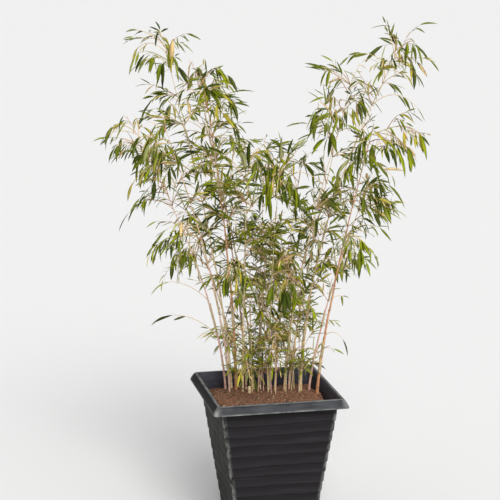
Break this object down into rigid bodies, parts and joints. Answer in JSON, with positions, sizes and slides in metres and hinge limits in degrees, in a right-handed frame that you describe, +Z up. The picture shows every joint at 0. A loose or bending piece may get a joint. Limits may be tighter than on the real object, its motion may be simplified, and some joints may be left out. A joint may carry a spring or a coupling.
{
  "type": "potted bamboo",
  "caption": "Clump of thin arching bamboo canes with narrow drooping leaves, in a square tapering plastic pot filled with soil.",
  "frame": {"origin": "middle of the pot's flat underside, at the face the pot stands on", "axes": "+Z up along the pot's middle line; the pot's front face looks along -Y and +X is to its right"},
  "size_m": [0.7077, 0.5797, 1.0747],
  "materials": {
    "pot": "charcoal moulded plastic, satin, with scuffed edges",
    "soil": "moist crumbly potting compost, matt",
    "cane": "ripened bamboo cane, tan to reddish brown, faint sheen",
    "foliage": "thin bamboo leaves, bright to deep green with some straw, soft sheen"
  },
  "bodies": {
    "root": {"cane_back_tall": "cane", "cane_cut_stub": "cane", "cane_far_left": "cane", "cane_far_right": "cane", "cane_left_back": "cane", "cane_left_front": "cane", "cane_left_tall": "cane", "cane_left_thick": "cane", "cane_middle_back": "cane", "cane_middle_front": "cane", "cane_middle_left": "cane", "cane_middle_right": "cane", "cane_middle_tall": "cane", "cane_right_back": "cane", "cane_right_front": "cane", "cane_right_low": "cane", "cane_right_tall": "cane", "leaves_back_tall_side_1": "foliage", "leaves_back_tall_tip": "foliage", "leaves_far_left_side_1": "foliage", "leaves_far_left_side_2": "foliage", "leaves_far_left_tip": "foliage", "leaves_far_right_side_1": "foliage", "leaves_far_right_side_2": "foliage", "leaves_far_right_tip": "foliage", "leaves_left_back_side_1": "foliage", "leaves_left_back_side_2": "foliage", "leaves_left_back_tip": "foliage", "leaves_left_front_side_1": "foliage", "leaves_left_front_side_2": "foliage", "leaves_left_front_tip": "foliage", "leaves_left_tall_side_1": "foliage", "leaves_left_tall_side_2": "foliage", "leaves_left_tall_tip": "foliage", "leaves_left_thick_tip": "foliage", "leaves_middle_back_side_1": "foliage", "leaves_middle_back_side_2": "foliage", "leaves_middle_back_tip": "foliage", "leaves_middle_front_side_1": "foliage", "leaves_middle_front_side_2": "foliage", "leaves_middle_front_tip": "foliage", "leaves_middle_left_side_1": "foliage", "leaves_middle_left_side_2": "foliage", "leaves_middle_left_tip": "foliage", "leaves_middle_right_tip": "foliage", "leaves_middle_tall_side_1": "foliage", "leaves_middle_tall_tip": "foliage", "leaves_right_back_side_1": "foliage", "leaves_right_back_side_2": "foliage", "leaves_right_back_tip": "foliage", "leaves_right_front_side_1": "foliage", "leaves_right_front_side_2": "foliage", "leaves_right_front_tip": "foliage", "leaves_right_low_side_1": "foliage", "leaves_right_low_tip": "foliage", "leaves_right_tall_side_1": "foliage", "leaves_right_tall_side_2": "foliage", "leaves_right_tall_tip": "foliage", "pot": "pot", "soil": "soil"}
  },
  "joints": []
}
